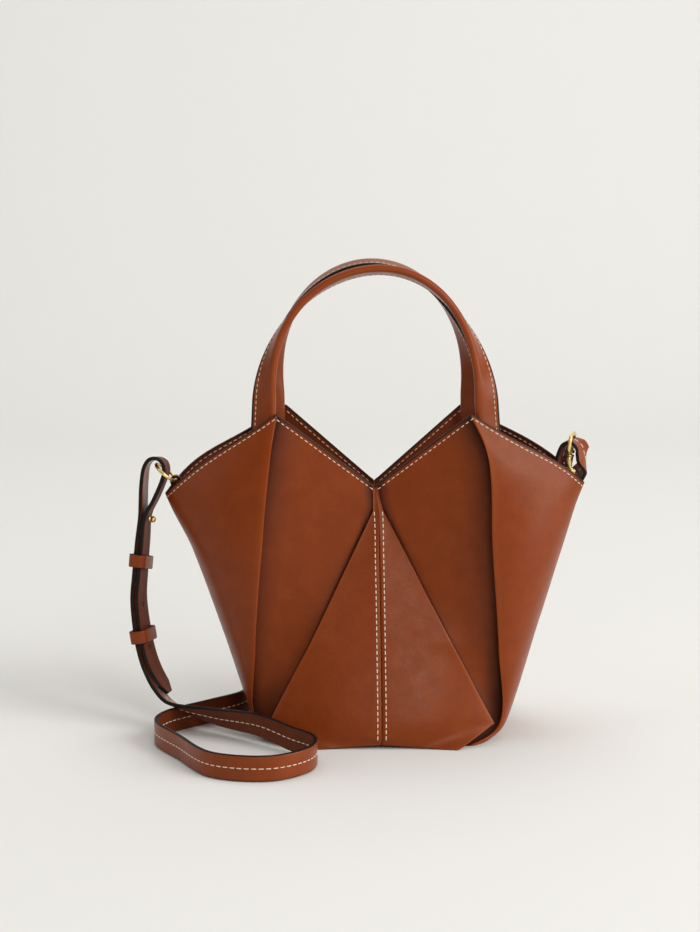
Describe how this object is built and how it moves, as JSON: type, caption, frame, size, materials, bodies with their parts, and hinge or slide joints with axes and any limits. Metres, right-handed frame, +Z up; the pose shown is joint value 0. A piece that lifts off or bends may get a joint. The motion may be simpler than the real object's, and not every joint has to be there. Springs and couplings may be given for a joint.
{
  "type": "bucket bag",
  "caption": "Bucket bag of smooth folded leather with a zigzag rim, pressed pleats, arched handles and a long strap on brass rings, closed by a swivel hook.",
  "frame": {"origin": "middle of the underside of the base, on the surface the bag stands on", "axes": "+Z up, -Y out of the front, +X towards the corner of the mouth with the hook"},
  "size_m": [0.2786, 0.2005, 0.2839],
  "materials": {
    "body_leather": "smooth, satin",
    "band_leather": "smooth, satin, dark painted edges",
    "brass": "polished"
  },
  "bodies": {
    "bag": {"body_left": "body_leather", "body_right": "body_leather", "base_panel": "body_leather", "handle_front": "band_leather", "handle_back": "band_leather", "tab_left": "band_leather", "tab_right": "band_leather", "ring_left": "brass", "ring_right": "brass", "strap": "band_leather", "strap_stud": "brass", "keeper_upper": "band_leather", "keeper_lower": "band_leather", "hook_body": "brass", "hook_eye": "brass"},
    "gate": {"hook_gate": "brass"}
  },
  "joints": [
    {"name": "gate_hinge", "type": "hinge", "parent": "bag", "child": "gate", "pos_m": [0.1166, 0, 0.15575], "axis": [0, 1, 0], "range_deg": [0, 22], "stiffness_Nm_per_rad": 0.001, "springref_deg": -5.73}
  ]
}
